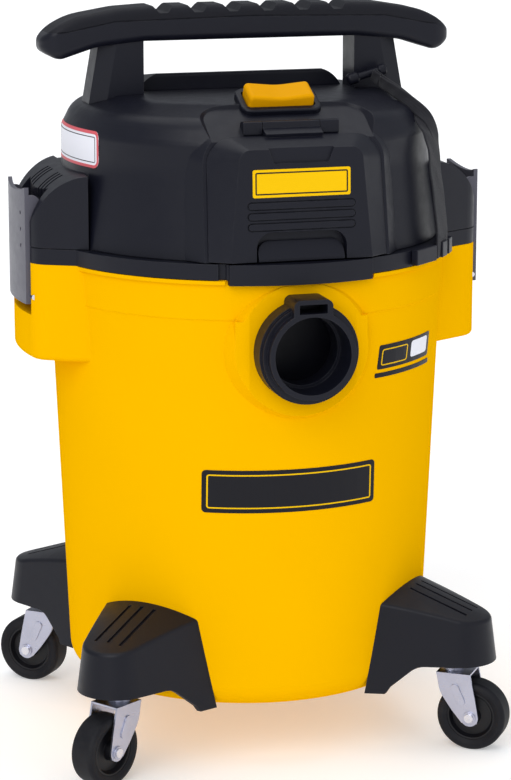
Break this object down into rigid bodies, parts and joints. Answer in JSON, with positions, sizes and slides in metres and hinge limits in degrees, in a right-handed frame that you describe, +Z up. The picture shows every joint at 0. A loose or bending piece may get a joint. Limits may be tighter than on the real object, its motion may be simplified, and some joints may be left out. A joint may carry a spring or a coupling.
{
  "type": "shop vacuum",
  "caption": "Wet and dry shop vacuum: round tank on swivel casters, latched motor head with carry handle, rocker switch, storage door, filter, float and hose ports.",
  "frame": {"origin": "on the floor, under the axis of the round tank", "axes": "+Z up, front with the hose inlet towards -Y, +X to the right seen from behind the camera at the front"},
  "size_m": [0.368, 0.361, 0.572],
  "materials": {
    "tank_yellow": "satin moulded polypropylene",
    "body_black": "fine-textured moulded ABS, satin",
    "foot_black": "fine-textured moulded plastic",
    "grip_black": "soft-touch textured overmould",
    "latch_grey": "satin moulded nylon",
    "rocker_yellow": "satin moulded plastic",
    "fork_steel": "zinc-plated pressed steel",
    "bright_steel": "plain steel",
    "hub_black": "dark moulded plastic",
    "tyre_grey": "dull grey rubber",
    "armature_metal": "laminated steel and copper windings",
    "impeller_aluminium": "pressed aluminium",
    "brush_brass": "brass holders",
    "foam_grey": "open-cell foam",
    "filter_paper": "pleated filter paper",
    "float_white": "hollow plastic",
    "webbing_black": "woven polyester webbing"
  },
  "bodies": {
    "tank": {"tank_shell": "tank_yellow", "inlet_port": "body_black", "inlet_deflector": "body_black", "inlet_screws": "bright_steel", "foot_screws": "bright_steel", "latch_pin_left": "bright_steel", "latch_pin_right": "bright_steel", "foot_front_left": "foot_black", "foot_front_right": "foot_black", "foot_rear_left": "foot_black", "foot_rear_right": "foot_black"},
    "head": {"lid_base": "body_black", "lid_gasket": "foam_grey", "head_cover": "body_black", "rear_hood": "body_black", "handle_frame": "body_black", "handle_grip": "grip_black", "handle_screws": "bright_steel", "switch_bezel": "body_black", "switch_body": "body_black", "door_pin": "bright_steel", "storage_box": "body_black", "blower_port": "body_black", "cord_gland": "body_black", "fan_housing": "body_black", "motor_frame": "body_black", "stator": "bright_steel", "motor_bearings": "bright_steel", "carbon_brushes": "brush_brass", "silencer_foam": "foam_grey", "filter_cage": "body_black", "cartridge_filter": "filter_paper", "filter_nut": "body_black", "head_screws": "bright_steel", "strap": "webbing_black", "strap_buckle": "body_black", "strap_toggle": "body_black"},
    "latch_left": {"latch_left": "latch_grey"},
    "latch_right": {"latch_right": "latch_grey"},
    "rocker": {"rocker": "rocker_yellow"},
    "door": {"storage_door": "body_black"},
    "rotor": {"armature": "armature_metal", "impeller": "impeller_aluminium"},
    "float": {"float_ball": "float_white"},
    "caster_front_left": {"caster_fork_front_left": "fork_steel", "caster_axle_front_left": "bright_steel"},
    "wheel_front_left": {"wheel_hub_front_left": "hub_black", "wheel_tyre_front_left": "tyre_grey"},
    "caster_front_right": {"caster_fork_front_right": "fork_steel", "caster_axle_front_right": "bright_steel"},
    "wheel_front_right": {"wheel_hub_front_right": "hub_black", "wheel_tyre_front_right": "tyre_grey"},
    "caster_rear_left": {"caster_fork_rear_left": "fork_steel", "caster_axle_rear_left": "bright_steel"},
    "wheel_rear_left": {"wheel_hub_rear_left": "hub_black", "wheel_tyre_rear_left": "tyre_grey"},
    "caster_rear_right": {"caster_fork_rear_right": "fork_steel", "caster_axle_rear_right": "bright_steel"},
    "wheel_rear_right": {"wheel_hub_rear_right": "hub_black", "wheel_tyre_rear_right": "tyre_grey"}
  },
  "joints": [
    {"name": "head_lift", "type": "slide", "parent": "tank", "child": "head", "axis": [0, 0, 1], "range_m": [0, 0.16]},
    {"name": "latch_left_hinge", "type": "hinge", "parent": "tank", "child": "latch_left", "pos_m": [-0.1762, 0, 0.357], "axis": [0, -1, 0], "range_deg": [0, 70]},
    {"name": "latch_right_hinge", "type": "hinge", "parent": "tank", "child": "latch_right", "pos_m": [0.1762, 0, 0.357], "axis": [0, 1, 0], "range_deg": [0, 70]},
    {"name": "rocker_tilt", "type": "hinge", "parent": "head", "child": "rocker", "pos_m": [0, -0.087, 0.503], "axis": [0, 0.9063, 0.4226], "range_deg": [-7, 7]},
    {"name": "door_hinge", "type": "hinge", "parent": "head", "child": "door", "pos_m": [0, -0.118, 0.4905], "axis": [-1, 0, 0], "range_deg": [0, 100]},
    {"name": "motor_spin", "type": "hinge", "parent": "head", "child": "rotor", "pos_m": [0, 0, 0.45], "axis": [0, 0, 1], "continuous": true},
    {"name": "float_rise", "type": "slide", "parent": "head", "child": "float", "axis": [0, 0, 1], "range_m": [0, 0.08]},
    {"name": "swivel_front_left", "type": "hinge", "parent": "tank", "child": "caster_front_left", "pos_m": [-0.133, -0.121, 0.08], "axis": [0, 0, 1], "continuous": true},
    {"name": "roll_front_left", "type": "hinge", "parent": "caster_front_left", "child": "wheel_front_left", "pos_m": [-0.14792, -0.13106, 0.0272], "axis": [0.5592, -0.829, 0], "continuous": true},
    {"name": "swivel_front_right", "type": "hinge", "parent": "tank", "child": "caster_front_right", "pos_m": [0.133, -0.121, 0.08], "axis": [0, 0, 1], "continuous": true},
    {"name": "roll_front_right", "type": "hinge", "parent": "caster_front_right", "child": "wheel_front_right", "pos_m": [0.14756, -0.13158, 0.0272], "axis": [0.5878, 0.809, 0], "continuous": true},
    {"name": "swivel_rear_left", "type": "hinge", "parent": "tank", "child": "caster_rear_left", "pos_m": [-0.133, 0.121, 0.08], "axis": [0, 0, 1], "continuous": true},
    {"name": "roll_rear_left", "type": "hinge", "parent": "caster_rear_left", "child": "wheel_rear_left", "pos_m": [-0.14679, 0.13257, 0.0272], "axis": [-0.6428, -0.766, 0], "continuous": true},
    {"name": "swivel_rear_right", "type": "hinge", "parent": "tank", "child": "caster_rear_right", "pos_m": [0.133, 0.121, 0.08], "axis": [0, 0, 1], "continuous": true},
    {"name": "roll_rear_right", "type": "hinge", "parent": "caster_rear_right", "child": "wheel_rear_right", "pos_m": [0.14718, 0.13208, 0.0272], "axis": [-0.6157, 0.788, 0], "continuous": true}
  ]
}
